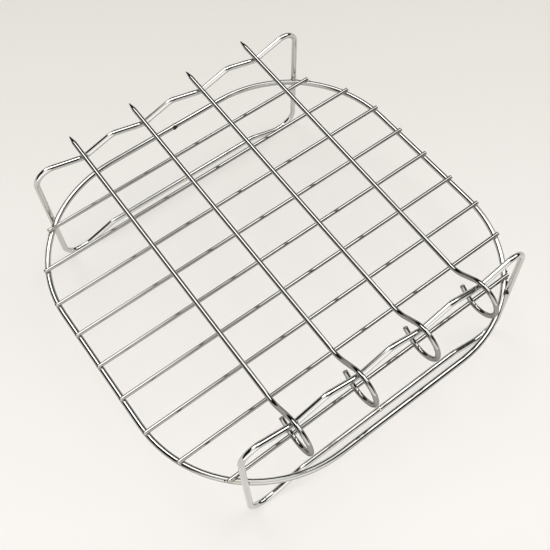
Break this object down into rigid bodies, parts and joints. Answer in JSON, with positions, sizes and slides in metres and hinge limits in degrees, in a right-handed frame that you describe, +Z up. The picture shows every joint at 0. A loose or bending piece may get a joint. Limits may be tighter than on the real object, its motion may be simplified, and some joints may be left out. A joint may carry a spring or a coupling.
{
  "type": "air fryer rack",
  "caption": "Square wire rack for an air fryer: a grid of cross wires on a rounded rim, raised on looped supports whose notched tops carry loose hooked skewers.",
  "frame": {"origin": "on the surface that the feet stand on, under the middle of the rim", "axes": "+X along the cross wires, +Y along the skewers towards their points, +Z up"},
  "size_m": [0.2036, 0.2006, 0.0795],
  "materials": {
    "rim_steel": "polished",
    "cross_wire_steel": "polished",
    "support_steel": "polished",
    "skewer_steel": "polished"
  },
  "bodies": {
    "root": {"rim_ring": "rim_steel", "front_support": "support_steel", "rear_support": "support_steel", "cross_wire_1": "cross_wire_steel", "cross_wire_2": "cross_wire_steel", "cross_wire_3": "cross_wire_steel", "cross_wire_4": "cross_wire_steel", "cross_wire_5": "cross_wire_steel", "cross_wire_6": "cross_wire_steel", "cross_wire_7": "cross_wire_steel", "cross_wire_8": "cross_wire_steel", "cross_wire_9": "cross_wire_steel", "skewer_1": "skewer_steel", "skewer_2": "skewer_steel", "skewer_3": "skewer_steel", "skewer_4": "skewer_steel"}
  },
  "joints": []
}
